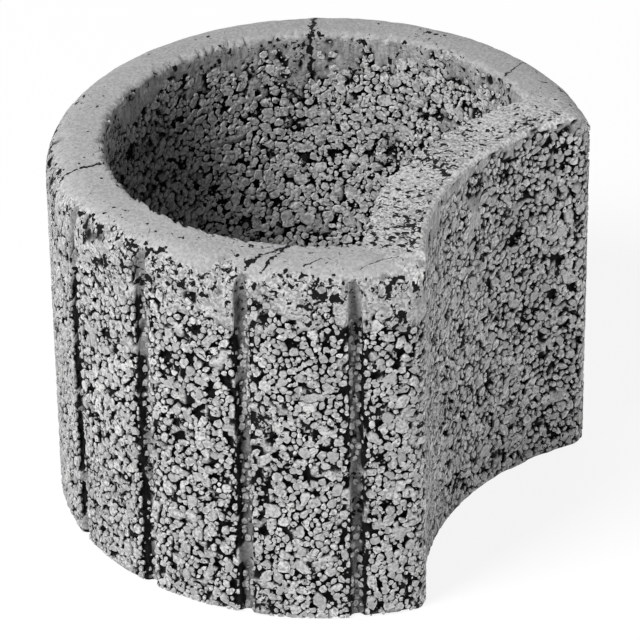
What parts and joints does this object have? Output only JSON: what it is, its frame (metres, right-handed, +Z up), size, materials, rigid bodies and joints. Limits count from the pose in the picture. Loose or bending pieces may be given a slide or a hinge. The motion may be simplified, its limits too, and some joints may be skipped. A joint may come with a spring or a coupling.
{
  "type": "concrete planter ring",
  "caption": "Open-ended round planter block of rough no-fines concrete, with a concave side recess that takes the next ring's round and upright grooves outside.",
  "frame": {"origin": "on the axis of the ring's round, in the plane of the base that it stands on", "axes": "+Z up along the ring's axis, +X through the middle of the recess, towards the neighbouring ring"},
  "size_m": [0.3078, 0.35, 0.25],
  "materials": {
    "concrete": "raw, open-textured grey no-fines concrete with a smoother trowelled rim"
  },
  "bodies": {
    "root": {"planter_ring": "concrete"}
  },
  "joints": []
}
